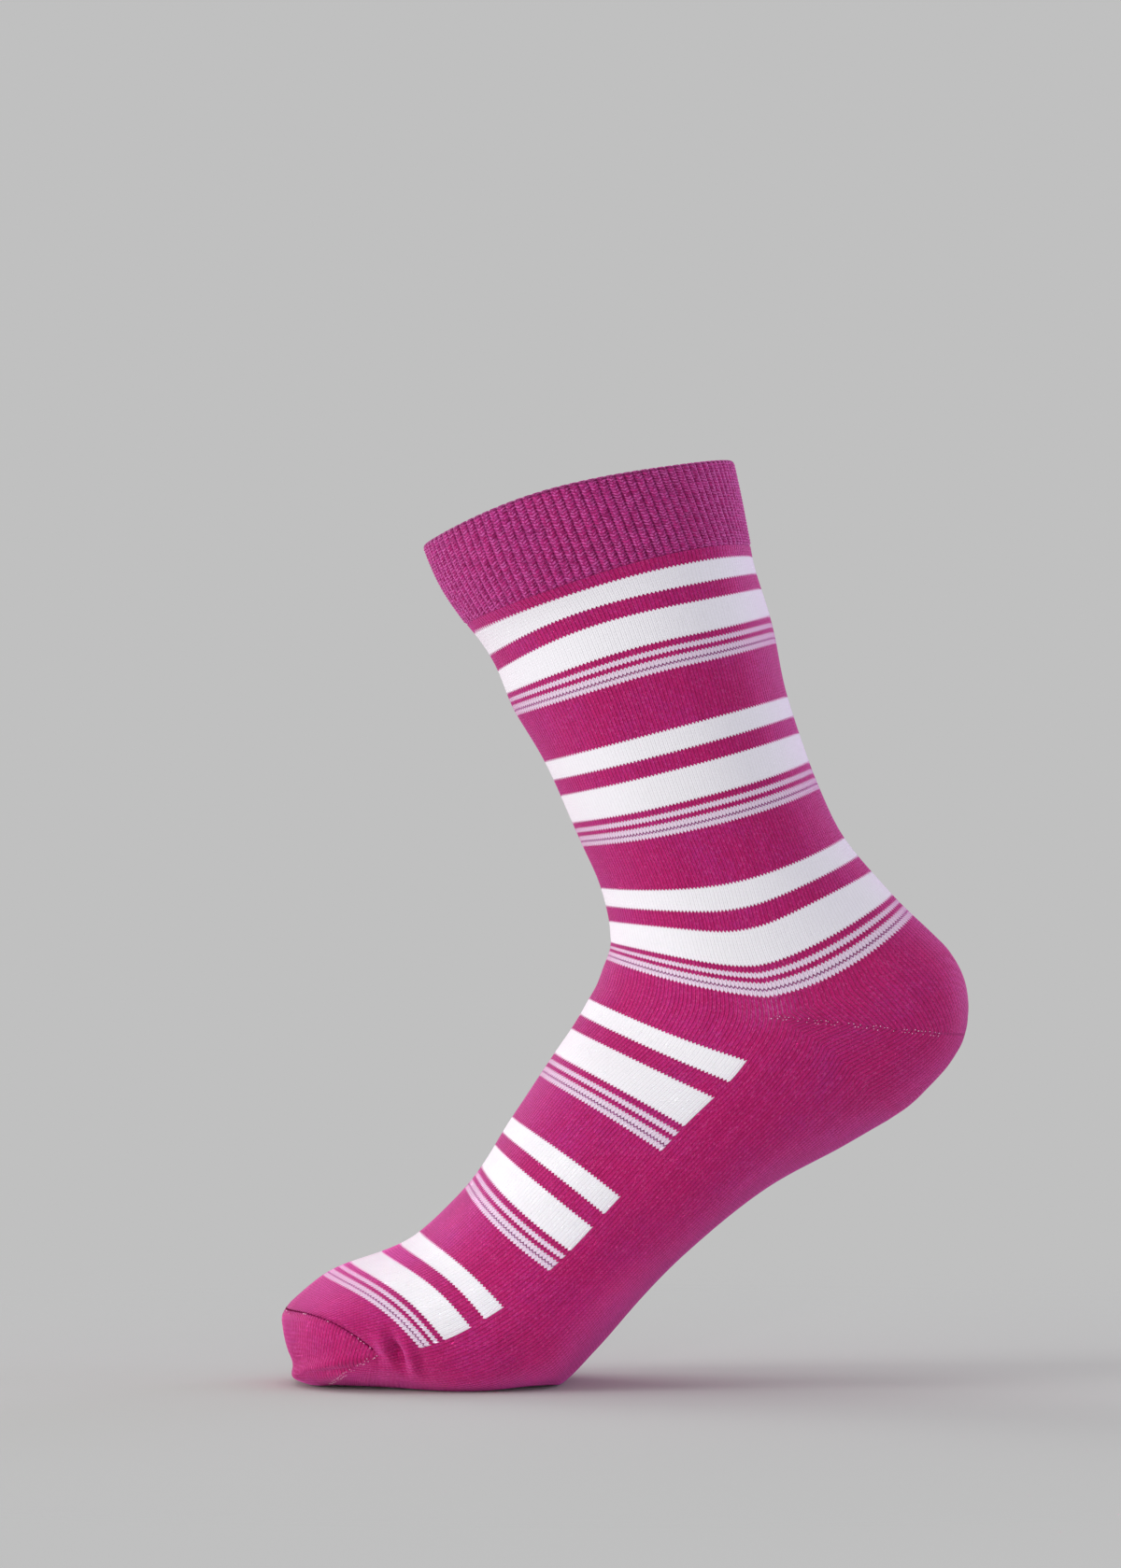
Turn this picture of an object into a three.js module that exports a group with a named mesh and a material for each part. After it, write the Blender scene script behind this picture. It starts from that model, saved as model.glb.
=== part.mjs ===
// A crew sock worn on tiptoe: five knitted pieces, hollow, open at the cuff.
//
// Millimetres. +Z is up, the toe points to -X, the heel to +X, and the sock is
// the same on both sides of the XZ plane. The origin is the middle of the
// opening at the top of the cuff.
//
// The whole sock is a row of rings, one for each course (a row of knitting).
// A ring is drawn from five guide points on its +Y half: front, fore, side, aft
// and back. Courses are counted from the first stripe below the cuff.

import * as THREE from 'three';

// ---------------------------------------------------------------- sizes

const WALL = 1.2;             // single knit
const CUFF_WALL = 2.4;        // the cuff is knitted double
const SEAM_GAP = 0.35;        // courses left free at a seam, a third of a millimetre
const FLOOR = -262.9;         // the height the sole and toe stand on

const CUFF_TOP = -33;         // course numbers
const CUFF_FOOT = -4;
const HEEL_TURN = 143;
const TOE_TURN = 310;

const QUARTER = 11;           // steps in a quarter of a ring

// course, front x z, fore x z, side x z, aft x z, back x z, half width, squareness
const LEG = [
  [-33, -46.6, -13.0, -21.6, -1.6, 2.4, 5.2, 25.1, 9.3, 45.9, 12.3, 43.0, 1.0],
  [-4, -35.8, -33.8, -13.3, -27.8, 12.5, -19.1, 36.2, -13.9, 51.0, -12.6, 42.0, 1.0],
  [0, -32.0, -38.2, -10.6, -30.2, 13.9, -22.2, 36.5, -17.4, 51.5, -15.4, 41.0, 1.0],
  [34, -18.6, -63.0, 4.3, -56.1, 24.1, -50.1, 42.1, -46.2, 58.8, -41.4, 37.0, 1.0],
  [52, -10.6, -76.7, 10.1, -71.6, 29.2, -66.6, 46.6, -61.8, 62.2, -57.1, 34.5, 1.0],
  [86, 1.1, -102.2, 20.7, -99.8, 39.1, -96.1, 56.2, -91.1, 72.0, -84.8, 31.5, 1.0],
  [104, 6.2, -114.5, 26.2, -114.4, 45.5, -111.9, 63.4, -106.9, 79.0, -99.4, 30.5, 1.0],
  [122, 9.0, -127.7, 29.3, -129.7, 50.2, -131.0, 70.5, -123.3, 90.2, -112.8, 30.5, 0.9],
  [138, 7.8, -136.1, 31.2, -142.9, 54.9, -146.1, 77.4, -139.1, 99.7, -122.9, 30.5, 0.85],
  [143, 6.2, -140.0, 30.4, -147.4, 55.7, -152.2, 80.4, -144.0, 104.2, -127.1, 30.5, 0.8],
];
const FOOT = [
  [143, 6.2, -140.0, 30.4, -147.4, 55.7, -152.2, 76.0, -164.5, 92.1, -184.2, 30.5, 0.8],
  [156, 2.5, -147.6, 28.7, -158.4, 49.4, -165.2, 66.0, -174.3, 79.5, -191.5, 31.0, 0.8],
  [182, -8.4, -165.5, 10.7, -175.3, 29.7, -186.1, 45.8, -196.5, 55.4, -204.6, 33.3, 0.8],
  [208, -20.2, -183.1, -4.5, -193.0, 12.0, -205.5, 25.4, -217.0, 31.4, -223.7, 36.0, 0.8],
  [247, -37.8, -207.8, -26.9, -217.8, -12.2, -229.2, -1.5, -239.3, 4.4, -252.6, 42.0, 0.75],
  [260, -47.9, -217.3, -34.0, -226.3, -22.6, -237.2, -13.0, -249.6, -6.0, -262.9, 43.5, 0.65],
  [294, -76.9, -230.7, -59.8, -237.9, -47.1, -249.6, -39.4, -260.2, -38.0, -262.9, 43.0, 0.6],
  [310, -88.2, -240.2, -74.9, -241.8, -59.8, -251.4, -60.5, -258.0, -61.0, -262.9, 38.0, 0.6],
];

// Heel and toe are pockets: rays from a corner on each side of the foot to a
// line round the back of the heel, or under and round the tip of the toe.
const HEEL = {
  corner: [55.7, -152.2],
  halfWidth: 30.5,
  line: [
    [104.2, -127.1], [110.6, -133.6], [115.1, -141.8], [116.5, -150.6], [115.0, -159.4],
    [110.2, -167.3], [104.2, -174.0], [98.5, -179.7], [92.1, -184.2],
  ],
  gore: 0.47,
  firstAft: [80.4, -144.0],
  lastAft: [76.0, -164.5],
  squareness: [[0, 0.8], [0.5, 0.7], [1, 0.8]],
};
const TOE = {
  corner: [-59.8, -251.4],
  halfWidth: 38,
  line: [
    [-61.0, -262.9], [-72.0, -262.9], [-82.0, -262.7], [-86.6, -260.4], [-86.2, -257.2],
    [-87.8, -252.5], [-89.0, -246.5], [-89.2, -243.0], [-88.2, -240.2],
  ],
  gore: 0.355,
  firstAft: [-60.5, -258.0],
  lastAft: [-74.9, -241.8],
  squareness: [[0, 0.6], [0.45, 0.7], [0.7, 0.85], [1, 1.0]],
};

// ---------------------------------------------------------------- smooth tables

/** Values at x on a smooth curve through rows of [x, ...values]. */
function smoothRow(rows, x) {
  const last = rows.length - 1;
  const at = Math.min(Math.max(x, rows[0][0]), rows[last][0]);
  let i = 0;
  while (i < last - 1 && rows[i + 1][0] <= at) i += 1;
  const span = (k) => rows[k + 1][0] - rows[k][0];
  const slope = (k, c) => (rows[k + 1][c] - rows[k][c]) / span(k);
  const tangent = (k, c) => {
    if (k === 0) return slope(0, c);
    if (k === last) return slope(last - 1, c);
    const before = span(k - 1);
    const after = span(k);
    return (slope(k - 1, c) * after + slope(k, c) * before) / (before + after);
  };
  const h = span(i);
  const t = (at - rows[i][0]) / h;
  const out = [];
  for (let c = 1; c < rows[0].length; c += 1) {
    out.push(
      rows[i][c] * (1 + 2 * t) * (1 - t) ** 2
      + tangent(i, c) * h * t * (1 - t) ** 2
      + rows[i + 1][c] * t * t * (3 - 2 * t)
      + tangent(i + 1, c) * h * t * t * (t - 1),
    );
  }
  return out;
}

function straightLookup(pairs, x) {
  let i = 0;
  while (i < pairs.length - 2 && pairs[i + 1][0] <= x) i += 1;
  const t = (x - pairs[i][0]) / (pairs[i + 1][0] - pairs[i][0]);
  return pairs[i][1] + (pairs[i + 1][1] - pairs[i][1]) * t;
}

// ---------------------------------------------------------------- rings and rays

// The front half runs on from leg to foot without a break.
const WHOLE = [...LEG.slice(0, -1), ...FOOT];

/** Guide points of one ring. The back half belongs to the leg or to the foot. */
function guide(course, part) {
  const whole = smoothRow(WHOLE, course);
  const own = smoothRow(part === 'leg' ? LEG : FOOT, course);
  const aboveFloor = (z) => Math.max(z, FLOOR);
  return {
    front: [whole[0], whole[1]],
    fore: [whole[2], whole[3]],
    side: [whole[4], whole[5]],
    aft: [own[6], aboveFloor(own[7])],
    back: [own[8], aboveFloor(own[9])],
    halfWidth: whole[10],
    squareness: own[11],
  };
}

/** A bowed line: side at 0, middle at 0.5, end at 1. */
function bowed(side, middle, end, s) {
  const a = (1 - s) * (1 - 2 * s);
  const b = 4 * s * (1 - s);
  const c = s * (2 * s - 1);
  return [
    side[0] * a + middle[0] * b + end[0] * c,
    side[1] * a + middle[1] * b + end[1] * c,
  ];
}

/** Point on a ring. Angle 0 is the front, a quarter turn the side, a half turn the back. */
function ringPoint(g, angle) {
  const c = Math.cos(angle);
  const atFront = c > 1e-9;
  const [x, z] = atFront
    ? bowed(g.side, g.fore, g.front, c)
    : bowed(g.side, g.aft, g.back, Math.max(-c, 0));
  const power = atFront ? 1 : g.squareness;
  return new THREE.Vector3(x, g.halfWidth * Math.abs(Math.sin(angle)) ** power, z);
}

/** The ray of a pocket at t, as the back half of a ring. */
function pocketRay(pocket, t) {
  const lengths = [0];
  for (let i = 1; i < pocket.line.length; i += 1) {
    const [x0, z0] = pocket.line[i - 1];
    const [x1, z1] = pocket.line[i];
    lengths.push(lengths[i - 1] + Math.hypot(x1 - x0, z1 - z0));
  }
  const total = lengths[lengths.length - 1];
  const end = smoothRow(pocket.line.map((p, i) => [lengths[i] / total, ...p]), t);
  const bow = (aft, tip, k) => [
    (aft[0] - (pocket.corner[0] + tip[0]) / 2) * k,
    (aft[1] - (pocket.corner[1] + tip[1]) / 2) * k,
  ];
  const early = Math.max(1 - t / pocket.gore, 0);
  const late = Math.max((t - pocket.gore) / (1 - pocket.gore), 0);
  const first = bow(pocket.firstAft, pocket.line[0], early);
  const last = bow(pocket.lastAft, pocket.line[pocket.line.length - 1], late);
  return {
    side: pocket.corner,
    aft: [
      (pocket.corner[0] + end[0]) / 2 + first[0] + last[0],
      (pocket.corner[1] + end[1]) / 2 + first[1] + last[1],
    ],
    back: end,
    halfWidth: pocket.halfWidth,
    squareness: straightLookup(pocket.squareness, t),
  };
}

/** Angles from one angle to another that divide the curve into equal lengths. */
function evenAngles(g, from, to, count, skip = 0) {
  const fine = 240;
  const angles = [];
  const lengths = [0];
  let before = null;
  for (let i = 0; i <= fine; i += 1) {
    const u = i / fine;
    // closer steps near the front and back, where a square ring turns quickly
    const angle = from + (to - from) * (u - Math.sin(4 * Math.PI * u) / (4 * Math.PI));
    const p = ringPoint(g, angle);
    angles.push(angle);
    if (before) lengths.push(lengths[i - 1] + p.distanceTo(before));
    before = p;
  }
  const out = [];
  let k = 0;
  for (let i = 0; i <= count; i += 1) {
    const want = skip + ((lengths[fine] - skip) * i) / count;
    while (k < fine - 1 && lengths[k + 1] < want) k += 1;
    const t = Math.min(Math.max((want - lengths[k]) / (lengths[k + 1] - lengths[k] || 1), 0), 1);
    out.push(angles[k] + (angles[k + 1] - angles[k]) * t);
  }
  return out;
}

// ---------------------------------------------------------------- surface points and normals

const STEP = 0.5;   // courses, for slopes along the sock

/** Outward normal from two directions in the surface. */
function outward(along, around) {
  return new THREE.Vector3().crossVectors(along, around).normalize();
}

/** Points and normals on the +Y half of a ring, front to back. */
function tubeHalf(part, course) {
  const g = guide(course, part);
  const low = part === 'leg' ? CUFF_TOP : HEEL_TURN;
  const high = part === 'leg' ? HEEL_TURN : TOE_TURN;
  const gA = guide(Math.max(course - STEP, low), part);
  const gB = guide(Math.min(course + STEP, high), part);
  const angles = [
    ...evenAngles(g, 0, Math.PI / 2, QUARTER),
    ...evenAngles(g, Math.PI / 2, Math.PI, QUARTER).slice(1),
  ];
  return angles.map((angle) => {
    const p = ringPoint(g, angle);
    const along = ringPoint(gB, angle).sub(ringPoint(gA, angle));
    const lo = Math.max(angle - 0.02, 0);
    const hi = Math.min(angle + 0.02, Math.PI);
    const around = ringPoint(g, hi).sub(ringPoint(g, lo));
    const n = outward(around, along);
    if (angle < 1e-6 || angle > Math.PI - 1e-6) {
      // on the middle plane the normal has no sideways part
      const side = new THREE.Vector3(0, 1, 0);
      n.copy(outward(angle < 1 ? side : side.negate(), along));
    }
    return { p, n };
  });
}

/** Points and normals on the +Y half of a pocket ray, side to back. */
function rayHalf(pocket, t, skip) {
  const g = pocketRay(pocket, t);
  const gA = pocketRay(pocket, Math.max(t - 0.01, 0));
  const gB = pocketRay(pocket, Math.min(t + 0.01, 1));
  return evenAngles(g, Math.PI / 2, Math.PI, QUARTER, skip).map((angle) => {
    const p = ringPoint(g, angle);
    const along = ringPoint(gB, angle).sub(ringPoint(gA, angle));
    const lo = Math.max(angle - 0.02, Math.PI / 2);
    const around = ringPoint(g, Math.min(angle + 0.02, Math.PI)).sub(ringPoint(g, lo));
    const n = angle > Math.PI - 1e-6
      ? outward(new THREE.Vector3(0, -1, 0), along)
      : outward(around, along);
    if (angle < Math.PI / 2 + 1e-3) n.set(0, 1, 0);
    return { p, n };
  });
}

const mirrored = ({ p, n }) => ({
  p: new THREE.Vector3(p.x, -p.y, p.z),
  n: new THREE.Vector3(n.x, -n.y, n.z),
});

/** Normals halfway between two rows of points, so that two walls meet on a mitre. */
function meet(own, other) {
  return own.map(({ p, n }, i) => {
    const middle = n.clone().add(other[i].n).normalize();
    const reach = Math.max(middle.dot(n), 0.6);
    return { p, n: middle.multiplyScalar(1 / reach) };
  });
}

// ---------------------------------------------------------------- closed walls

/** The row beside the heel turn: half a gap in front, where leg and foot meet. */
function turnRow(part, away) {
  const front = tubeHalf(part, HEEL_TURN + away / 2).slice(0, QUARTER);
  const back = tubeHalf(part, HEEL_TURN + away).slice(QUARTER);
  return [...front, ...back];
}

/** Joins rows of outer and inner points into one closed body. */
function wallBody(outer, inner, closedRound) {
  const rows = outer.length;
  const cols = outer[0].length;
  const positions = [];
  [...outer, ...inner].flat().forEach((p) => positions.push(p.x, p.y, p.z));
  const out = (i, j) => i * cols + (j % cols);
  const inn = (i, j) => rows * cols + i * cols + (j % cols);
  const faces = [];
  const quad = (a, b, c, d) => faces.push(a, b, c, a, c, d);
  const lastCol = closedRound ? cols : cols - 1;
  for (let i = 0; i < rows - 1; i += 1) {
    for (let j = 0; j < lastCol; j += 1) {
      quad(out(i, j), out(i, j + 1), out(i + 1, j + 1), out(i + 1, j));
      quad(inn(i, j), inn(i + 1, j), inn(i + 1, j + 1), inn(i, j + 1));
    }
  }
  for (let j = 0; j < lastCol; j += 1) {
    quad(out(0, j), inn(0, j), inn(0, j + 1), out(0, j + 1));
    quad(out(rows - 1, j), out(rows - 1, j + 1), inn(rows - 1, j + 1), inn(rows - 1, j));
  }
  if (!closedRound) {
    for (let i = 0; i < rows - 1; i += 1) {
      quad(out(i, 0), out(i + 1, 0), inn(i + 1, 0), inn(i, 0));
      quad(out(i, cols - 1), inn(i, cols - 1), inn(i + 1, cols - 1), out(i + 1, cols - 1));
    }
  }
  const geometry = new THREE.BufferGeometry();
  geometry.setAttribute('position', new THREE.Float32BufferAttribute(positions, 3));
  geometry.setIndex(faces);
  geometry.computeVertexNormals();
  return geometry;
}

const inset = (row, depth) => row.map(({ p, n }) => p.clone().addScaledVector(n, -depth));

/** A whole ring: the +Y half front to back, then the -Y half back to front. */
function fullRing(halfRow) {
  return [...halfRow, ...halfRow.slice(1, -1).reverse().map(mirrored)];
}

/** A whole pocket ray: +Y corner, back, -Y corner. */
function fullRay(halfRow) {
  return [...halfRow, ...halfRow.slice(0, -1).reverse().map(mirrored)];
}

const steps = (from, to, count) => Array.from(
  { length: count + 1 },
  (_, i) => from + ((to - from) * i) / count,
);

// ---------------------------------------------------------------- the five pieces

const heelTop = rayHalf(HEEL, 0, 0);
const heelFoot = rayHalf(HEEL, 1, 0);
const toeFirst = rayHalf(TOE, 0, 0);
const toeLast = rayHalf(TOE, 1, 0);

function cuffGeometry() {
  const courses = steps(CUFF_TOP, CUFF_FOOT, 4);
  const rows = courses.map((course) => fullRing(tubeHalf('leg', course)));
  const outer = rows.map((row) => inset(row, 0));
  const inner = rows.map((row) => inset(row, CUFF_WALL));
  // the folded top edge is round, so it starts a little above both walls
  const rise = rows[0].map(({ p }, j) => p.clone().sub(rows[1][j].p).normalize());
  const crown = inset(rows[0], CUFF_WALL / 2).map((p, j) => p.addScaledVector(rise[j], 0.3));
  const shoulder = rise.map((r, j) => outer[0][j].clone().addScaledVector(r, -0.7));
  const innerShoulder = rise.map((r, j) => inner[0][j].clone().addScaledVector(r, -0.7));
  outer[0] = shoulder;
  inner[0] = innerShoulder;
  const outerRim = shoulder.map((p, j) => p.clone().lerp(crown[j], 0.4).addScaledVector(rise[j], 0.35));
  const innerRim = innerShoulder.map(
    (p, j) => p.clone().lerp(crown[j], 0.4).addScaledVector(rise[j], 0.35),
  );
  return wallBody([outerRim, ...outer], [innerRim, ...inner], true);
}

function legGeometry() {
  const courses = steps(CUFF_FOOT + SEAM_GAP, HEEL_TURN - SEAM_GAP, 16);
  const halves = courses.map((course) => tubeHalf('leg', course));
  const atTurn = tubeHalf('foot', HEEL_TURN);
  const below = [...atTurn.slice(0, QUARTER), ...heelTop];
  halves[halves.length - 1] = meet(turnRow('leg', -SEAM_GAP), below);
  const rows = halves.map(fullRing);
  return wallBody(rows.map((r) => inset(r, 0)), rows.map((r) => inset(r, WALL)), true);
}

function footGeometry() {
  const courses = [
    ...steps(HEEL_TURN + SEAM_GAP, 247, 10),
    ...steps(247, 294, 5).slice(1),
    ...steps(294, TOE_TURN - SEAM_GAP, 3).slice(1),
  ];
  const halves = courses.map((course) => tubeHalf('foot', course));
  const atTurn = tubeHalf('leg', HEEL_TURN);
  halves[0] = meet(turnRow('foot', SEAM_GAP), [...atTurn.slice(0, QUARTER), ...heelFoot]);
  const toeSide = [...toeLast.slice(1).reverse(), ...toeFirst];
  halves[halves.length - 1] = meet(halves[halves.length - 1], toeSide);
  const rows = halves.map(fullRing);
  return wallBody(rows.map((r) => inset(r, 0)), rows.map((r) => inset(r, WALL)), true);
}

/** A pocket wall between two rings; the ends take the mitre of the piece they meet. */
function pocketGeometry(pocket, rays, cornerGap, before, after) {
  const halves = steps(0, 1, rays).map((t) => rayHalf(pocket, t, cornerGap));
  halves[0] = meet(halves[0], before);
  halves[rays] = meet(halves[rays], after);
  const rows = halves.map(fullRay);
  return wallBody(rows.map((r) => inset(r, 0)), rows.map((r) => inset(r, WALL)), false);
}

function heelGeometry() {
  const legEnd = tubeHalf('leg', HEEL_TURN).slice(QUARTER);
  const footStart = tubeHalf('foot', HEEL_TURN).slice(QUARTER);
  return pocketGeometry(HEEL, 10, 0.8, legEnd, footStart);
}

function toeGeometry() {
  const footEnd = tubeHalf('foot', TOE_TURN);
  const under = footEnd.slice(QUARTER);
  const over = footEnd.slice(0, QUARTER + 1).reverse();
  return pocketGeometry(TOE, 14, 0.8, under, over);
}

// ---------------------------------------------------------------- assembly

const MAGENTA = 0xa82a6c;
const CUFF_MAGENTA = 0x96307a;

function piece(name, geometry, color) {
  const material = new THREE.MeshStandardMaterial({ color, roughness: 0.9, metalness: 0 });
  material.name = `${name}_knit`;
  const mesh = new THREE.Mesh(geometry, material);
  mesh.name = name;
  return mesh;
}

const sock = new THREE.Group();
sock.name = 'striped_crew_sock';
sock.add(
  piece('cuff', cuffGeometry(), CUFF_MAGENTA),
  piece('leg', legGeometry(), MAGENTA),
  piece('heel', heelGeometry(), MAGENTA),
  piece('foot', footGeometry(), MAGENTA),
  piece('toe', toeGeometry(), MAGENTA),
);

export default sock;
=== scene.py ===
"""A striped knitted crew sock, hollow and worn on tiptoe: its looks.

Sizes are in millimetres until a mesh is made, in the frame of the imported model:
+Z up, the toe towards -X, the heel towards +X, the origin in the middle of the
opening at the top of the cuff.

The sock is a row of rings, one for each course (a row of knitting), numbered
from the first stripe below the cuff. A ring has 200 wales (columns of knitting),
numbered from 0 at the front, through 50 at the +Y side, 100 at the back and 150
at the -Y side.
"""

import math

import bpy
import numpy as np
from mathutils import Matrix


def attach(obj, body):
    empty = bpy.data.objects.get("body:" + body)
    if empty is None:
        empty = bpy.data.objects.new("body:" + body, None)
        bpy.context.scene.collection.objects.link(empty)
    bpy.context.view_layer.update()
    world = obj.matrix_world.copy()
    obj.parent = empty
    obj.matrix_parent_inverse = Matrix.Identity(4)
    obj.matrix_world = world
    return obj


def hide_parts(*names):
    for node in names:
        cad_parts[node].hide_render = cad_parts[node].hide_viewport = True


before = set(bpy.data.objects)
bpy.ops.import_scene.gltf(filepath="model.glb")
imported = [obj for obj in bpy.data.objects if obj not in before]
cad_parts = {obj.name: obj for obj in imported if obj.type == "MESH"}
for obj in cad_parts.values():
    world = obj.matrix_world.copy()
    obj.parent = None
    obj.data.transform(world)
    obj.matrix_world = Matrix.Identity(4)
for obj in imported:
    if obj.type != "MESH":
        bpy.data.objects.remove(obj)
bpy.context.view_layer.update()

# ---- sizes

MM = 0.001
WALL = 1.2
CUFF_WALL = 2.4
FLOOR = -262.9

CUFF_TOP = -33          # courses
CUFF_FOOT = -4.2
CUFF_DIP = 2.1          # by which the rib reaches lower at the front
HEEL_TURN = 143
TOE_TURN = 310
LAST_STRIPE = TOE_TURN - 16
STRIPE_PERIOD = 52

WALES = 200
QUARTER = 50            # wales in a quarter of a ring
PER_WALE = 3            # mesh columns in a wale
COLUMNS = WALES * PER_WALE
QUARTER_COLUMNS = QUARTER * PER_WALE
BACK_HALF = slice(QUARTER_COLUMNS, 3 * QUARTER_COLUMNS)
FRONT_HALF = np.r_[0:QUARTER_COLUMNS, 3 * QUARTER_COLUMNS:COLUMNS]
RING_WALES = (np.arange(COLUMNS) + 0.5) / PER_WALE
WALES_FROM_SIDE = np.abs(np.abs(RING_WALES - WALES / 2) - QUARTER)
FRONTNESS = np.maximum(np.cos(2 * np.pi * RING_WALES / WALES), 0)
CUFF_END = CUFF_FOOT + CUFF_DIP * FRONTNESS ** 3       # the course where the rib ends

# course, front x z, fore x z, side x z, aft x z, back x z, half width, squareness
LEG = np.array([
    [-33, -46.6, -13.0, -21.6, -1.6, 2.4, 5.2, 25.1, 9.3, 45.9, 12.3, 43.0, 1.0],
    [-4, -35.8, -33.8, -13.3, -27.8, 12.5, -19.1, 36.2, -13.9, 51.0, -12.6, 42.0, 1.0],
    [0, -32.0, -38.2, -10.6, -30.2, 13.9, -22.2, 36.5, -17.4, 51.5, -15.4, 41.0, 1.0],
    [34, -18.6, -63.0, 4.3, -56.1, 24.1, -50.1, 42.1, -46.2, 58.8, -41.4, 37.0, 1.0],
    [52, -10.6, -76.7, 10.1, -71.6, 29.2, -66.6, 46.6, -61.8, 62.2, -57.1, 34.5, 1.0],
    [86, 1.1, -102.2, 20.7, -99.8, 39.1, -96.1, 56.2, -91.1, 72.0, -84.8, 31.5, 1.0],
    [104, 6.2, -114.5, 26.2, -114.8, 45.5, -113.2, 63.4, -106.9, 79.0, -99.4, 30.5, 1.0],
    [122, 9.0, -127.7, 29.3, -130.3, 50.2, -133.2, 70.5, -123.3, 90.2, -112.8, 30.5, 0.9],
    [138, 7.8, -136.1, 31.2, -142.9, 54.9, -146.9, 77.4, -139.1, 99.7, -122.9, 30.5, 0.85],
    [143, 6.2, -140.0, 30.4, -147.4, 55.7, -152.2, 80.4, -144.0, 104.2, -127.1, 30.5, 0.8],
])
FOOT = np.array([
    [143, 6.2, -140.0, 30.4, -147.4, 55.7, -152.2, 76.0, -164.5, 92.1, -184.2, 30.5, 0.8],
    [156, 2.5, -147.6, 28.7, -158.4, 49.4, -165.2, 66.0, -174.3, 79.5, -191.5, 31.0, 0.8],
    [182, -8.4, -165.5, 10.7, -175.3, 29.7, -186.1, 45.8, -196.5, 55.4, -204.6, 33.3, 0.8],
    [208, -20.2, -183.1, -4.5, -193.0, 12.0, -205.5, 25.4, -217.0, 31.4, -223.7, 36.0, 0.8],
    [247, -37.8, -207.8, -27.1, -218.2, -12.9, -230.4, -1.5, -239.3, 4.4, -252.6, 42.0, 0.75],
    [260, -47.9, -217.3, -34.0, -226.3, -22.6, -237.2, -13.0, -249.6, -6.0, -262.9, 43.5, 0.65],
    [294, -76.9, -230.7, -59.8, -237.9, -47.1, -249.6, -39.4, -260.2, -38.0, -262.9, 43.0, 0.6],
    [310, -88.2, -240.2, -74.9, -241.8, -59.8, -251.4, -60.5, -258.0, -61.0, -262.9, 38.0, 0.6],
])
WHOLE = np.vstack([LEG[:-1], FOOT])

# Pockets: rays from a corner on each side of the foot to a line round the back
# of the heel, or under and round the tip of the toe. The gore is the ray where
# the short rows turn.
HEEL = {
    "corner": (55.7, -152.2),
    "half_width": 30.5,
    "line": np.array([
        (104.2, -127.1), (110.6, -133.6), (115.1, -141.8), (116.5, -150.6), (115.0, -159.4),
        (110.2, -167.3), (104.2, -174.0), (98.5, -179.7), (92.1, -184.2),
    ]),
    "gore": 0.50,
    "gore_loss": 0.26,      # share of the wales that run out into the gore by its corner
    "first_aft": (80.4, -144.0),
    "last_aft": (76.0, -164.5),
    "squareness": ((0, 0.5, 1), (0.8, 0.7, 0.8)),
    "turn": HEEL_TURN,
    "courses": 38,
}
TOE = {
    "corner": (-59.8, -251.4),
    "half_width": 38.0,
    "line": np.array([
        (-61.0, -262.9), (-72.0, -262.9), (-82.0, -262.7), (-86.6, -260.4), (-86.2, -257.2),
        (-87.8, -252.5), (-89.0, -246.5), (-89.2, -243.0), (-88.2, -240.2),
    ]),
    "gore": 0.335,
    "gore_loss": 0.30,
    "first_aft": (-60.5, -258.0),
    "last_aft": (-74.9, -241.8),
    "squareness": ((0, 0.45, 0.7, 1), (0.6, 0.7, 0.85, 1.0)),
    "turn": TOE_TURN,
    "courses": 24,
}
POCKETS = {"heel": HEEL, "toe": TOE}

# ---- the surface


def smooth_rows(at, values, x):
    """Values at x on a smooth curve through the rows (at, values)."""
    span = np.diff(at)
    slope = np.diff(values, axis=0) / span[:, None]
    tangent = np.empty_like(values)
    tangent[0], tangent[-1] = slope[0], slope[-1]
    weight = (span[:-1] + span[1:])[:, None]
    tangent[1:-1] = (slope[:-1] * span[1:, None] + slope[1:] * span[:-1, None]) / weight
    x = np.clip(x, at[0], at[-1])
    i = np.clip(np.searchsorted(at, x, side="right") - 1, 0, len(at) - 2)
    h = span[i][:, None]
    t = (x[:, None] - at[i][:, None]) / h
    return (values[i] * (1 + 2 * t) * (1 - t) ** 2 + tangent[i] * h * t * (1 - t) ** 2
            + values[i + 1] * t * t * (3 - 2 * t) + tangent[i + 1] * h * t * t * (t - 1))


def ring_guides(courses, part):
    """Guide points of rings. The back half belongs to the leg or to the foot."""
    whole = smooth_rows(WHOLE[:, 0], WHOLE[:, 1:], courses)
    table = LEG if part == "leg" else FOOT
    own = smooth_rows(table[:, 0], table[:, 1:], courses)
    own[:, (7, 9)] = np.maximum(own[:, (7, 9)], FLOOR)
    return {
        "front": whole[:, 0:2], "fore": whole[:, 2:4], "side": whole[:, 4:6],
        "aft": own[:, 6:8], "back": own[:, 8:10],
        "half_width": whole[:, 10], "squareness": own[:, 11],
    }


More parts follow.
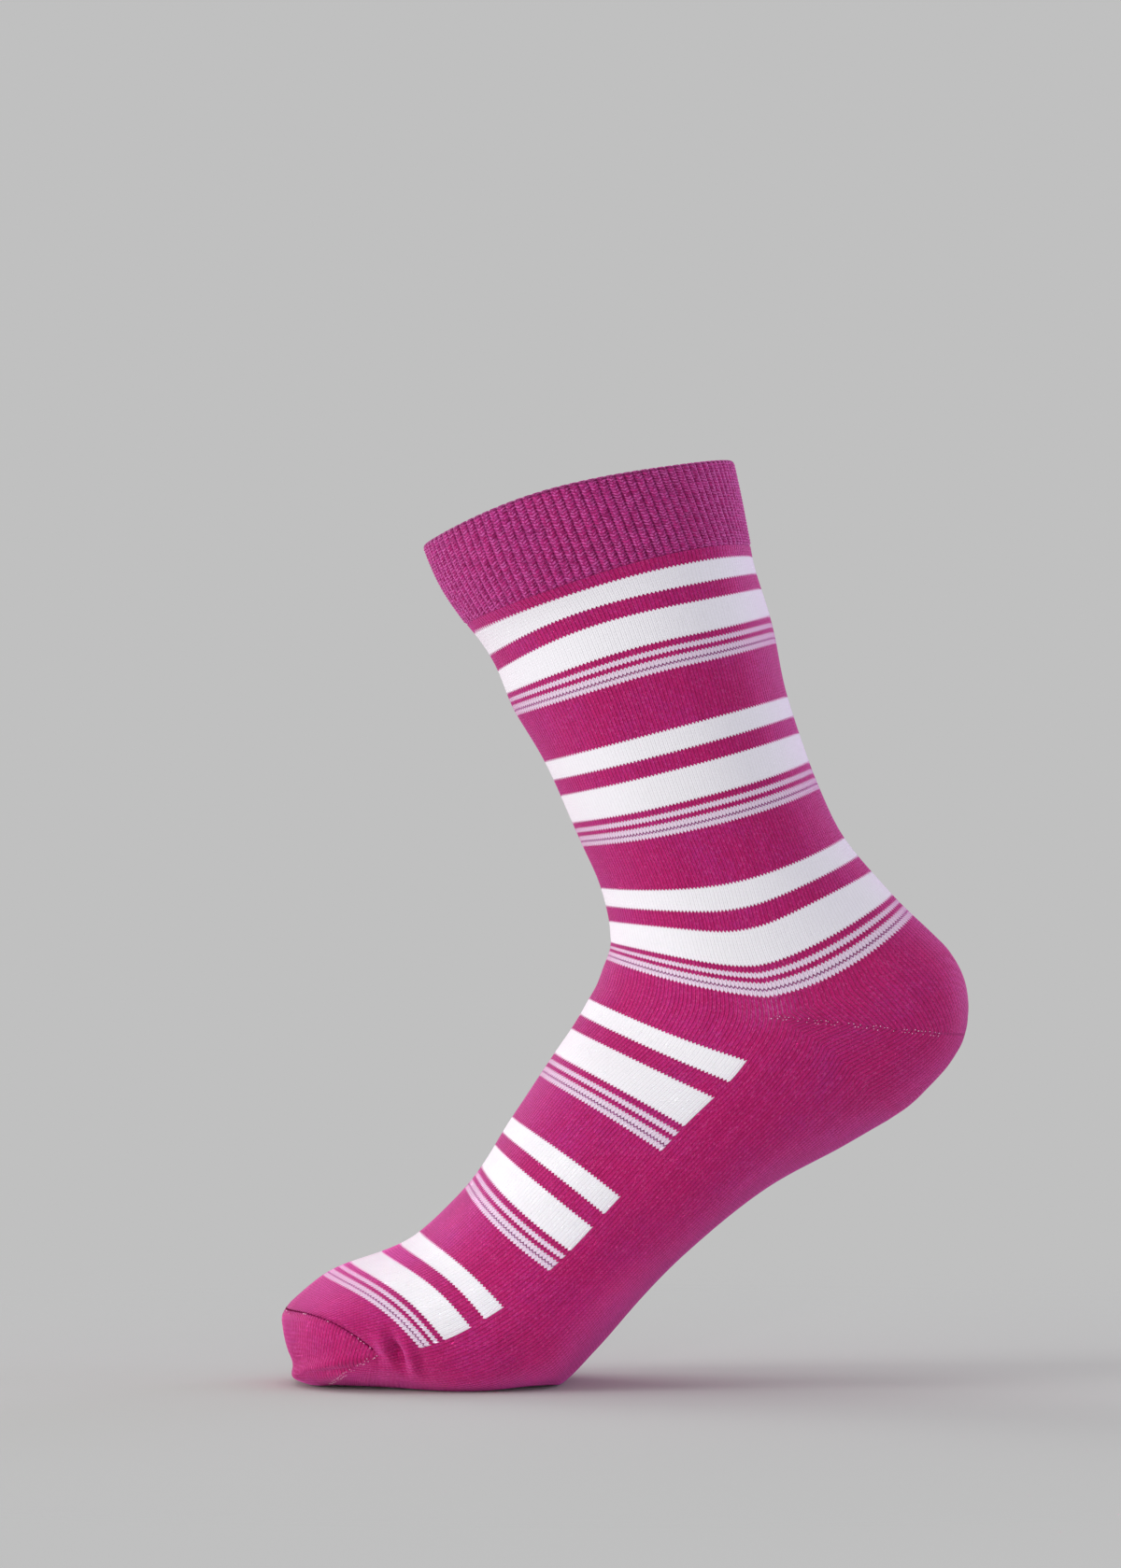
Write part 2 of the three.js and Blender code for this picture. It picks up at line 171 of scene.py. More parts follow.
def ray_guides(pocket, t):
    """Guide points of the rays of a pocket, as the back halves of rings."""
    line = pocket["line"]
    length = np.concatenate([[0], np.cumsum(np.linalg.norm(np.diff(line, axis=0), axis=1))])
    end = smooth_rows(length / length[-1], line, t)
    corner = np.array(pocket["corner"])
    bow_first = np.array(pocket["first_aft"]) - (corner + line[0]) / 2
    bow_last = np.array(pocket["last_aft"]) - (corner + line[-1]) / 2
    early = np.maximum(1 - t / pocket["gore"], 0)[:, None]
    late = np.maximum((t - pocket["gore"]) / (1 - pocket["gore"]), 0)[:, None]
    side = np.broadcast_to(corner, end.shape)
    return {
        "front": side, "fore": side, "side": side,
        "aft": (corner + end) / 2 + bow_first * early + bow_last * late, "back": end,
        "half_width": np.full(len(t), pocket["half_width"]),
        "squareness": np.interp(t, *pocket["squareness"]),
    }


def bowed(side, middle, end, s):
    """A bowed line: side at 0, middle at 0.5, end at 1."""
    s = s[..., None]
    return (side[:, None] * (1 - s) * (1 - 2 * s) + middle[:, None] * 4 * s * (1 - s)
            + end[:, None] * s * (2 * s - 1))


def ring_points(guides, angles):
    """Points on the +Y halves of rings: angle 0 is the front, pi the back."""
    cos = np.cos(angles)
    front = bowed(guides["side"], guides["fore"], guides["front"], np.maximum(cos, 0))
    back = bowed(guides["side"], guides["aft"], guides["back"], np.maximum(-cos, 0))
    at_front = cos > 0
    xz = np.where(at_front[..., None], front, back)
    power = np.where(at_front, 1.0, guides["squareness"][:, None])
    y = guides["half_width"][:, None] * np.abs(np.sin(angles)) ** power
    return np.stack([xz[..., 0], y, xz[..., 1]], axis=-1)


ARC_STEPS = 240                 # steps in which the length of a curve is added up


def even_angles(guides, start, stop):
    """Angles between start and stop, evenly spaced along each curve."""
    u = np.linspace(0, 1, ARC_STEPS + 1)
    fine = start + (stop - start) * (u - np.sin(4 * np.pi * u) / (4 * np.pi))
    curve = ring_points(guides, np.broadcast_to(fine, (len(guides["half_width"]), len(fine))))
    length = np.cumsum(np.linalg.norm(np.diff(curve, axis=1), axis=2), axis=1)
    length = np.hstack([np.zeros((len(length), 1)), length])
    share = (np.arange(QUARTER_COLUMNS) + 0.5) / QUARTER_COLUMNS
    return np.array([np.interp(share * row[-1], row, fine) for row in length])


MIRROR = np.array([1, -1, 1])
EASE_WALES = 7                  # how far the rounding of a side line reaches
HEEL_EASE = 22                  # courses from a corner over which the rounding sets in
TOE_EASE = 30


def ease_sides(grid, courses):
    """Rounds the side lines of rings, but not by the heel and toe corners, where pieces meet."""
    reach = 3 * EASE_WALES * PER_WALE
    steps = np.arange(-reach, reach + 1)
    weights = np.exp(-0.5 * (steps / (EASE_WALES * PER_WALE)) ** 2)
    soft = sum(w * np.roll(grid, k, axis=1) for w, k in zip(weights / weights.sum(), steps))
    from_heel = np.abs(courses - HEEL_TURN) / HEEL_EASE
    from_toe = np.abs(courses - TOE_TURN) / TOE_EASE
    fade = np.clip(np.minimum(from_heel, from_toe), 0, 1)
    fade = fade * fade * (3 - 2 * fade)
    share = fade[:, None] * np.exp(-(WALES_FROM_SIDE / (2.2 * EASE_WALES)) ** 2)
    return grid + (soft - grid) * share[..., None]


def tube_grid(part, courses):
    """Points of whole rings: rows are courses, columns run from the front round by +Y."""
    guides = ring_guides(courses, part)
    front = even_angles(guides, 0, np.pi / 2)
    back = even_angles(guides, np.pi / 2, np.pi)
    half = ring_points(guides, np.hstack([front, back]))
    whole = np.concatenate([half, half[:, ::-1] * MIRROR], axis=1)
    return ease_sides(whole, courses)


def slide_rows(grid, courses, wanted):
    """Points of the grid moved along each column to the wanted courses."""
    place = np.interp(wanted, courses, np.arange(len(courses)))
    row = np.minimum(place.astype(int), len(courses) - 2)
    share = (place - row)[..., None]
    column = np.arange(grid.shape[1])
    return grid[row, column] * (1 - share) + grid[row + 1, column] * share


def pocket_grid(pocket, t):
    """Points of whole rays: columns run from the +Y corner round the back to the -Y one."""
    guides = ray_guides(pocket, t)
    half = ring_points(guides, even_angles(guides, np.pi / 2, np.pi))
    return np.concatenate([half, half[:, ::-1] * MIRROR], axis=1)


def unit(v):
    return v / np.maximum(np.linalg.norm(v, axis=-1, keepdims=True), 1e-12)


def grid_normals(grid, closed):
    """Outward normals of a grid of points."""
    if closed:
        around = np.roll(grid, -1, axis=1) - np.roll(grid, 1, axis=1)
    else:
        around = np.gradient(grid, axis=1)
    along = np.gradient(grid, axis=0)
    return unit(np.cross(around, along))


# ---- folds in the cloth

SIDE_FADE = 10          # a fold on one side fades out this near the middle of the foot

# x, z, angle in degrees, half length, half width, depth (a ridge is negative), and the
# side: 1 for +Y, -1 for -Y, 0 for both
FOLDS = [
    (-53.9, -250.6, 113, 5.2, 1.7, 2.5, -1),    # pucker beside the toe corner
    (-57.7, -248.9, 113, 4.6, 1.9, -1.8, -1),
    (-50.4, -252.0, 111, 5.4, 2.1, -1.15, -1),
    (-47.0, -253.2, 108, 4.6, 2.0, 0.7, -1),
    (-53.2, -250.9, 104, 5.0, 1.9, 2.0, 1),     # its twin on the hidden side
    (-56.8, -249.6, 106, 4.2, 1.9, -1.4, 1),
    (-49.6, -251.8, 102, 5.0, 2.0, -1.1, 1),
    (-75.0, -257.6, 10, 11.0, 1.3, 0.9, -1),    # tuck above the sole of the toe
    (-74.0, -254.4, 14, 10.0, 2.0, -0.5, -1),
    (-75.0, -256.9, 8, 11.0, 1.4, 0.8, 1),
    (14.0, -143.0, 4, 12.0, 3.4, 0.55, 0),      # bend in front of the ankle
    (12.0, -151.5, 26, 11.0, 3.2, 0.45, 0),
    (18.0, -134.0, -6, 12.0, 3.6, 0.35, 0),
    (84.0, -120.0, -38, 12.0, 3.8, 0.35, 0),    # above the heel
    (30.0, -214.0, 44, 16.0, 4.0, 0.3, 0),      # along the arch
]


def folds(grid):
    """How far each point sinks into the folds."""
    depth = np.zeros(grid.shape[:2])
    for x, z, angle, half_length, half_width, deep, side in FOLDS:
        c, s = math.cos(math.radians(angle)), math.sin(math.radians(angle))
        dx, dz = grid[..., 0] - x, grid[..., 2] - z
        along = (dx * c + dz * s) / half_length
        across = (-dx * s + dz * c) / half_width
        reach = np.exp(-along ** 2 - across ** 2)
        if side:
            reach = reach * np.clip(grid[..., 1] * side / SIDE_FADE, 0, 1)
        depth += deep * reach
    return depth


def unevenness(grid):
    """Slow hand-like waves, the same on every piece, so that the pieces still meet."""
    x, y, z = grid[..., 0], grid[..., 1], grid[..., 2]
    return (0.16 * np.sin(x / 9.0 + 1.7 * np.sin(z / 13.0) + y / 17.0)
            + 0.12 * np.sin(z / 6.5 + 1.3 * np.sin(y / 11.0) - x / 19.0))


def settle(grid, closed):
    """The grid with its folds and unevenness, kept on or above the floor."""
    normal = grid_normals(grid, closed)
    out = grid - normal * (folds(grid) + unevenness(grid))[..., None]
    out[..., 2] = np.maximum(out[..., 2], FLOOR)
    return out


# ---- closed walls


def object_from(name, mesh, body="root"):
    """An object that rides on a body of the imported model."""
    piece = bpy.data.objects.new(name, mesh)
    bpy.context.scene.collection.objects.link(piece)
    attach(piece, body)
    return piece


def white_rows(knit, next_knit, round_leg):
    """Which faces lie wholly in a broad white stripe. round_leg: stripes all round."""
    low = np.minimum(knit[..., 1], next_knit[..., 1])
    high = np.maximum(knit[..., 1], next_knit[..., 1])
    inside = np.zeros(low.shape, bool)
    place = np.floor(low / STRIPE_PERIOD) * STRIPE_PERIOD
    for courses, color in STRIPES:
        if color is WHITE:
            inside |= (low > place + TOOTH / 2) & (high < place + courses - TOOTH / 2)
        place = place + courses
    inside &= (low > 0) & (high < LAST_STRIPE)
    if not round_leg:
        inside &= np.abs(knit[..., 0] - WALES / 2) > QUARTER + 1
    return inside


# bake map: the four strips of a wall lie one above the other, and the two corner
# edges of a pocket stand beside them
OUTER_BAND = (0.01, 0.66)
FOOT_EDGE_BAND = (0.675, 0.685)
INNER_BAND = (0.70, 0.94)
HEAD_EDGE_BAND = (0.955, 0.965)
STRIPS_LEFT, STRIPS_WIDE = 0.01, 0.96
CORNER_LEFTS, CORNER_WIDE, CORNER_HIGH = (0.975, 0.985), 0.006, 0.9
CORNER_ORDER = (0, 3, 2, 1)


def quad_of(u0, u1, v0, v1):
    """The corners of faces in a map, in the faces' own order."""
    corners = [(u0, v0), (u1, v0), (u1, v1), (u0, v1)]
    return np.stack([np.stack(corner, axis=-1) for corner in corners], axis=-2)


def wall_piece(name, outer, inner, closed, outside, inside, white=None):
    """A closed wall between an outer and an inner grid.

    outer and inner are (points, normals, knit) with the same number of columns;
    knit holds each point's wale and course. white is for the broad white stripes.
    """
    points = np.concatenate([outer[0], inner[0][::-1]])
    normals = np.concatenate([outer[1], -inner[1][::-1]])
    knit = np.concatenate([outer[2], inner[2][::-1]])
    n_outer, n_rows, n_cols = len(outer[0]), len(points), points.shape[1]
    index = np.arange(n_rows * n_cols).reshape(n_rows, n_cols)

    k = np.arange(n_rows)
    c = np.arange(n_cols if closed else n_cols - 1)
    k0, c0 = np.meshgrid(k, c, indexing="ij")
    k1, c1 = (k0 + 1) % n_rows, (c0 + 1) % n_cols
    corners = [(k0, c0), (k0, c1), (k1, c1), (k1, c0)]
    faces = np.stack([index[a, b] for a, b in corners], axis=-1).reshape(-1, 4)

    # normals: smooth on both walls, flat on the narrow edges
    loop_normals = np.stack([normals[a, b] for a, b in corners], axis=2)
    loop_normals[n_outer - 1] = unit((points[n_outer - 1] - points[n_outer - 2]).mean(axis=0))
    loop_normals[-1] = unit((points[0] - points[1]).mean(axis=0))

    # knit coordinates run on past the last wale to the first
    loop_knit = np.stack([knit[a, b] for a, b in corners], axis=2)
    loop_knit[..., 0] += np.stack([np.where(b < c0, WALES, 0) for a, b in corners], axis=2)

    low = np.concatenate([
        np.linspace(*OUTER_BAND, n_outer),
        np.linspace(*INNER_BAND, n_rows - n_outer),
    ])
    high = np.roll(low, -1)
    low[n_outer - 1], high[n_outer - 1] = FOOT_EDGE_BAND
    low[-1], high[-1] = HEAD_EDGE_BAND
    left = STRIPS_LEFT + STRIPS_WIDE * c0 / n_cols
    right = STRIPS_LEFT + STRIPS_WIDE * (c0 + 1) / n_cols
    loop_bake = quad_of(left, right, low[k0], high[k0])

    loop_normals = loop_normals.reshape(-1, 3)
    loop_knit = loop_knit.reshape(-1, 2)
    loop_bake = loop_bake.reshape(-1, 2)
    material = np.where(k0 < n_outer, 0, 1)
    if white:
        outer_face = k0 < n_outer - 1
        material[outer_face & white_rows(knit[k0, c0], knit[k1, c0], name == "leg_knit")] = 2
    material = material.reshape(-1)

    if not closed:
        # the two corner edges of a pocket
        r = np.arange(n_outer - 1)
        bottom = CORNER_HIGH * r / (n_outer - 1)
        top = CORNER_HIGH * (r + 1) / (n_outer - 1)
        for column, flip, u in zip((0, n_cols - 1), (False, True), CORNER_LEFTS):
            a, b = index[r, column], index[r + 1, column]
            d, e = index[n_rows - 1 - r, column], index[n_rows - 2 - r, column]
            edge = np.stack([a, d, e, b] if flip else [a, b, e, d], axis=-1)
            faces = np.concatenate([faces, edge])
            flat = np.tile([0.0, -1.0 if flip else 1.0, 0.0], (len(edge) * 4, 1))
            loop_normals = np.concatenate([loop_normals, flat])
            edge_knit = np.repeat(knit[r, column], 4, axis=0)
            loop_knit = np.concatenate([loop_knit, edge_knit])
            left = np.full(len(r), u)
            edge_bake = quad_of(left, left + CORNER_WIDE, bottom, top)[:, CORNER_ORDER]
            loop_bake = np.concatenate([loop_bake, edge_bake.reshape(-1, 2)])
            material = np.concatenate([material, np.zeros(len(edge), int)])

    mesh = bpy.data.meshes.new(name)
    mesh.from_pydata((points.reshape(-1, 3) * MM).tolist(), [], faces.tolist())
    mesh.uv_layers.new(name="OFBake").data.foreach_set("uv", loop_bake.ravel())
    mesh.uv_layers.new(name="Knit").data.foreach_set("uv", loop_knit.ravel())
    mesh.materials.append(outside)
    mesh.materials.append(inside)
    if white:
        mesh.materials.append(white)
    mesh.polygons.foreach_set("material_index", material)
    mesh.polygons.foreach_set("use_smooth", np.ones(len(faces), bool))
    # point attributes: how far the knit is pulled open, and the painted shadow along the toe seam
    for label, values in (("strain", corner_strain(points)), ("seam", seam_shadow(points))):
        mesh.attributes.new(label, "FLOAT", "POINT").data.foreach_set("value", values.ravel())
    mesh.normals_split_custom_set(loop_normals)
    mesh.update()
    return object_from(name, mesh)


# spots where the knit is pulled open by the heel corners: x and z from the corner,
# reach in x and in z, strength
STRAINS = [(0, 3, 7.5, 4.6, 0.66), (24, 6, 24, 13, 0.07)]
STRAIN_FREE = 8                         # millimetres from the middle of the foot
SEAM_BACK, SEAM_TOP = -50, -235         # the toe seam lies before and below these
SHADOW_REACH = 0.75
SHADOW_FADE = 8                         # from a toe corner, over which the shadow sets in


def corner_strain(points):
    """How far the knit is pulled open, from 0 to 1."""
    x, z = HEEL["corner"]
    dx, dz = points[..., 0] - x, points[..., 2] - z
    strain = sum(strength * np.exp(-((dx - ahead) / wide) ** 2 - ((dz - above) / high) ** 2)
                 for ahead, above, wide, high, strength in STRAINS)
    return np.clip(strain, 0, 1) * (np.abs(points[..., 1]) > STRAIN_FREE)


def seam_shadow(points):
    """Painted shadow along the toe seam: 1 on the seam, 0 a millimetre and a half off it, and
    fainter by its corners.
    """
    shade = np.zeros(points.shape[:2])
    near = (points[..., 0] < SEAM_BACK) & (points[..., 2] < SEAM_TOP)
    if near.any():
        off = np.linalg.norm(points[near][:, None] - seam_line[None], axis=2).min(axis=1)
        shade[near] = np.exp(-(off / SHADOW_REACH) ** 2)
    x, z = TOE["corner"]
    from_corner = np.hypot(points[..., 0] - x, points[..., 2] - z)
    return shade * (0.3 + 0.7 * np.clip(from_corner / SHADOW_FADE, 0, 1))


# ---- materials


class Nodes:
    """A material's node graph, written as sums."""

    def __init__(self, name):
        self.material = bpy.data.materials.new(name)
        self.material.use_nodes = True
        self.tree = self.material.node_tree
        self.shader = self.tree.nodes["Principled BSDF"]

    def add(self, kind, **settings):
        node = self.tree.nodes.new(kind)
        for key, value in settings.items():
            setattr(node, key, value)
        return node

    def join(self, source, socket):
        if isinstance(source, bpy.types.NodeSocket):
            self.tree.links.new(source, socket)
        else:
            socket.default_value = source

    def math(self, operation, *values, clamp=False):
        node = self.add("ShaderNodeMath", operation=operation, use_clamp=clamp)
        for value, socket in zip(values, node.inputs):
            self.join(value, socket)
        return node.outputs[0]

    def plus(self, a, b):
        return self.math("ADD", a, b)

    def minus(self, a, b, clamp=False):
        return self.math("SUBTRACT", a, b, clamp=clamp)

    def times(self, a, b, clamp=False):
        return self.math("MULTIPLY", a, b, clamp=clamp)

    def scaled(self, value, factor, start):
        return self.math("MULTIPLY_ADD", value, factor, start)

    def from_middle(self, value):
        """0 in the middle of each whole step of a value, 1 at its ends."""
        return self.times(self.math("ABSOLUTE", self.minus(self.math("FRACT", value), 0.5)), 2.0)

    def centred(self, value, strength):
        """A value between 0 and 1, moved to the middle of 0 and scaled."""
        return self.times(self.minus(value, 0.5), strength)

    def shaded(self, color, shade):
        return self.mix(1.0, color, self.vector(shade, shade, shade), "MULTIPLY")

    def vector(self, x, y, z=0.0):
        node = self.add("ShaderNodeCombineXYZ")
        for value, socket in zip((x, y, z), node.inputs):
            self.join(value, socket)
        return node.outputs[0]

    def mix(self, share, a, b, blend="MIX"):
        node = self.add("ShaderNodeMix", data_type="RGBA", blend_type=blend)
        self.join(share, node.inputs["Factor"])
        self.join(a, node.inputs["A"])
        self.join(b, node.inputs["B"])
        return node.outputs["Result"]

    def random(self, x, y):
        """One value for each whole number pair."""
        node = self.add("ShaderNodeTexWhiteNoise", noise_dimensions="2D")
        self.join(self.vector(self.math("FLOOR", x), self.math("FLOOR", y)), node.inputs["Vector"])
        return node.outputs["Value"]

    def noise(self, scale, detail):
        node = self.add("ShaderNodeTexNoise")
        node.inputs["Scale"].default_value = scale
        node.inputs["Detail"].default_value = detail
        self.join(self.add("ShaderNodeTexCoord").outputs["Object"], node.inputs["Vector"])
        return node.outputs["Fac"]

    def knit(self):
        """Wale and course at the shaded point."""
        uv = self.add("ShaderNodeUVMap", uv_map="Knit")
        split = self.add("ShaderNodeSeparateXYZ")
        self.join(uv.outputs["UV"], split.inputs[0])
        return split.outputs["X"], split.outputs["Y"]

    def ramp(self, value, stops):
        node = self.add("ShaderNodeValToRGB")
        node.color_ramp.interpolation = "CONSTANT"
        elements = node.color_ramp.elements
        while len(elements) < len(stops):
            elements.new(1.0)
        for element, (place, color) in zip(elements, stops):
            element.position = place
            element.color = color
        self.join(value, node.inputs["Fac"])
        return node.outputs["Color"]


def linear(*screen):
    """A colour given as red, green and blue on a screen, from 0 to 255."""
    value = np.array(screen) / 255
    value = np.where(value <= 0.04045, value / 12.92, ((value + 0.055) / 1.055) ** 2.4)
    return (*value.tolist(), 1.0)


MAGENTA = linear(175, 33, 99)
# MAGENTA_DEEP: the seam thread's colour, and the colour of the painted shade on the toe seam and
# inside the sock
MAGENTA_DEEP = linear(98, 6, 50)
MAGENTA_FLECK = linear(226, 104, 170)
MAGENTA_RED = linear(176, 22, 80)
MAGENTA_VIOLET = linear(164, 54, 146)
CUFF_MAGENTA = linear(168, 39, 105)
# CUFF_DEEP: the colour of the painted shade in the rib's grooves, and of its darker rim
CUFF_DEEP = linear(60, 2, 34)
CUFF_FLECK = linear(216, 112, 180)
CUFF_VIOLET = linear(152, 54, 138)
WHITE = linear(234, 234, 238)
THIN_WHITE = linear(230, 216, 232)
MAUVE = linear(136, 88, 128)
PALE_THREAD = linear(240, 202, 224)
LINE_THREAD = linear(140, 24, 86)
PULLED_YARN = linear(232, 158, 200)
GLOSS_TINT = linear(255, 92, 206)
SHEEN_TINT = linear(252, 116, 210)

# courses of each stripe, from the top of the first white one
STRIPES = [
    (7.3, WHITE), (5.9, MAGENTA), (10.8, WHITE), (2.4, MAGENTA), (1.6, THIN_WHITE),
    (1.6, MAGENTA), (1.8, THIN_WHITE), (0.6, MAUVE), (1.6, THIN_WHITE), (18.4, MAGENTA),
]


def stripe_stops():
    """Where each stripe starts in its period, and its colour."""
    stops = []
    place = 0.0
    for courses, color in STRIPES:
        stops.append((place / STRIPE_PERIOD, color))
        place += courses
    return stops


TOOTH = 0.75            # courses that the zigzag edge of a stripe spans
RIB_LEAN = 0.7          # the same for the stitches of a rib
RIB_BUMP = 0.42
THREAD_BUMP = 0.06


def jersey(name, striped, reverse=False, fuzz=0.85):
    """Fine jersey knit, one stitch for each wale and course.

    striped is None for plain cloth, "round" for stripes all round and "front"
    for stripes on the front half only. reverse is the inside of the cloth, and
    fuzz is how much pink gloss and sheen the yarn has.
    """
    n = Nodes(name)
    wale, course = n.knit()
    across = n.from_middle(wale)
    slant = n.scaled(across, TOOTH, course)     # the legs of each stitch lean together

    base = MAGENTA
    if striped:
        level = n.minus(slant, TOOTH / 2)
        place = n.math("FRACT", n.math("DIVIDE", level, STRIPE_PERIOD))
        base = n.ramp(place, stripe_stops())
        below_cuff = n.math("GREATER_THAN", level, 0.0)
        above_toe = n.math("LESS_THAN", course, LAST_STRIPE)
        shown = n.times(below_cuff, above_toe)
        if striped == "front":
            from_back = n.math("ABSOLUTE", n.minus(wale, WALES / 2))
            shown = n.times(shown, n.math("GREATER_THAN", from_back, QUARTER))
        base = n.mix(shown, MAGENTA, base)
    return finish_knit(n, base, wale, course, across, slant, reverse, fuzz)


def finish_knit(n, base, wale, course, across, slant, reverse, fuzz):
    """Tone, flecks, pulled-open gaps, painted shade between the stitches and along the toe seam,
    and the bump of the stitches.
    """
    split = n.add("ShaderNodeSeparateColor")
    n.join(base, split.inputs[0])
    is_magenta = n.math("LESS_THAN", split.outputs["Green"], 0.1)

    # the dyed yarn turns from red to violet in fine specks and in slow clouds
    stitch = n.random(wale, slant)
    half_stitch = n.random(n.times(wale, 2.0), n.times(slant, 2.0))
    column = n.random(wale, 7.0)        # the same all along a wale
    cloud = n.noise(48.0, 3.0)
    fibre = n.noise(2400.0, 2.0)
    hue = n.plus(n.centred(half_stitch, 0.36), n.centred(cloud, 0.9))
    violet = n.times(hue, is_magenta, clamp=True)
    red = n.times(n.times(hue, -1.0), is_magenta, clamp=True)
    color = n.mix(violet, base, MAGENTA_VIOLET)
    color = n.mix(red, color, MAGENTA_RED)

    # painted shade between wales and between courses, far less on the white yarn
    gap = n.math("POWER", across, 3.0)
    turn = n.from_middle(slant)
    step = n.math("POWER", turn, 5.0)
    is_thin = n.math("COMPARE", split.outputs["Green"], THIN_WHITE[1], 0.03)
    depth = n.scaled(is_magenta, 0.56, n.scaled(is_thin, 0.22, 0.07))
    hollow = n.times(n.scaled(step, 0.40, gap), depth)
    grain = n.plus(n.centred(half_stitch, 0.12), n.centred(fibre, 0.34))
    grain = n.plus(grain, n.plus(n.centred(stitch, 0.12), n.centred(column, 0.09)))
    strength = n.scaled(is_magenta, 0.92, 0.08)
    lift = n.scaled(is_magenta, 0.09, 1.02)
    shade = n.plus(lift, n.times(grain, strength))
    color = n.shaded(color, n.minus(shade, hollow))

    # light fibres that stand off the magenta yarn
    fleck = n.random(n.times(wale, 3.0), n.times(slant, 2.5))
    fleck = n.times(n.math("GREATER_THAN", fleck, 0.92), is_magenta)
    color = n.mix(n.times(fleck, 0.24), color, MAGENTA_FLECK)

    # pale yarn shows between wales where the cloth is pulled, and painted shadow lies along the
    # groove of the toe seam
    strain = n.add("ShaderNodeAttribute", attribute_name="strain").outputs["Fac"]
    pull = n.times(n.math("POWER", across, 5.0), n.times(strain, 0.80))
    pull = n.times(pull, n.plus(half_stitch, 0.2), clamp=True)
    color = n.mix(n.times(pull, is_magenta), color, PULLED_YARN)
    seam = n.add("ShaderNodeAttribute", attribute_name="seam").outputs["Fac"]
    color = n.mix(n.times(seam, 0.62), color, MAGENTA_DEEP)
    # painted shade: the inside of the cloth is made a quarter darker
    if reverse:
        color = n.mix(0.25, color, MAGENTA_DEEP)
    n.join(color, n.shader.inputs["Base Color"])

    # two legs of a stitch lean together, highest at their middles
    leg = n.math("ABSOLUTE", n.scaled(across, 2.0, -1.0))
    round_leg = n.minus(1.0, n.math("POWER", leg, 2.0))
    height = n.times(round_leg, n.scaled(turn, -0.5, 1.0))
    if reverse:
        height = n.math("SINE", n.times(course, 2 * math.pi))
    height = n.plus(height, n.times(fibre, 0.3))
    stitch_depth = 0.10 + 0.17 * fuzz
    cloth_shader(n, height, stitch_depth, fuzz)
    return n.material


def cloth_shader(n, height, depth, fuzz):
    """The bump of the stitches, depth in millimetres, and the gloss and sheen of the yarn."""
    bump = n.add("ShaderNodeBump")
    bump.inputs["Strength"].default_value = 0.75
    bump.inputs["Distance"].default_value = depth * MM
    n.join(height, bump.inputs["Height"])
    n.join(bump.outputs[0], n.shader.inputs["Normal"])
    for socket, value in (
            ("Roughness", 0.95 - 0.4 * fuzz),
            ("Specular IOR Level", 0.45 * fuzz),
            ("Specular Tint", GLOSS_TINT),
            ("Sheen Weight", fuzz),
            ("Sheen Roughness", 0.42),
            ("Sheen Tint", SHEEN_TINT)):
        n.shader.inputs[socket].default_value = value


def rib(name):
    """Ribbed cuff cloth: chains of stitches on the ribs, painted shade in the grooves and between
    the stitches, and painted highlights on the crowns.
    """
    n = Nodes(name)
    wale, course = n.knit()
    across = n.from_middle(n.times(wale, 0.5))
    slant = n.scaled(across, RIB_LEAN, course)
    knot = n.math("SINE", n.times(n.math("FRACT", slant), math.pi))
    stitch = n.random(wale, slant)
    grain = n.random(n.times(wale, 3.0), n.times(slant, 3.0))
    fibre = n.noise(3000.0, 2.0)
    cloud = n.noise(52.0, 3.0)

    # painted shade in the grooves and between the stitches
    groove = n.math("DIVIDE", n.minus(across, 0.56), 0.38, clamp=True)
    groove_shade = n.times(groove, n.scaled(knot, -0.45, 1.0))
    leg = n.math("POWER", n.scaled(across, 2.0, -1.0), 2.0)
    bead = n.times(knot, n.scaled(leg, -0.45, 1.0))
    between = n.times(n.math("POWER", n.minus(1.0, bead), 2.0), 0.62)
    recess_shade = n.math("MAXIMUM", groove_shade, between)
    violet = n.times(n.plus(cloud, n.centred(grain, 1.2)), 0.45, clamp=True)
    color = n.mix(violet, CUFF_MAGENTA, CUFF_VIOLET)
    color = n.mix(n.times(recess_shade, 0.95, clamp=True), color, CUFF_DEEP)
    shade = n.plus(1.06, n.centred(stitch, 0.50))
    shade = n.plus(shade, n.plus(n.centred(grain, 0.3), n.centred(fibre, 0.7)))
    color = n.shaded(color, shade)

    # light fibres at random, kept to the crowns of the stitches as a painted highlight, and a
    # darker rim
    lit_crown = n.times(n.minus(1.0, recess_shade, clamp=True), knot)
    fleck = n.times(n.math("GREATER_THAN", grain, 0.62), lit_crown)
    color = n.mix(n.times(fleck, 0.55), color, CUFF_FLECK)
    rim = n.times(n.math("LESS_THAN", course, CUFF_TOP - 0.4), 0.6)
    color = n.mix(rim, color, CUFF_DEEP)
    n.join(color, n.shader.inputs["Base Color"])

    height = n.scaled(n.minus(1.0, recess_shade), 0.8, n.times(fibre, 0.5))
    cloth_shader(n, height, RIB_BUMP, 1.0)
    return n.material


def thread(name, color):
    """Twisted sewing thread or bare yarn."""
    n = Nodes(name)
    twist = n.noise(1500.0, 3.0)
    n.join(n.shaded(color, n.scaled(twist, 0.5, 0.75)), n.shader.inputs["Base Color"])
    cloth_shader(n, twist, THREAD_BUMP, 0.1)
    return n.material


# ---- the five knitted pieces

WALE_HEIGHT = 0.07
EDGE_GAP = 0.05         # courses between a stripe's edge and the mesh rows beside it


def wale_relief(knit):
    """Each wale is a small ridge."""
    phase = (knit[..., 0] % 1.0) - 0.5
    return WALE_HEIGHT * np.cos(2 * np.pi * phase)


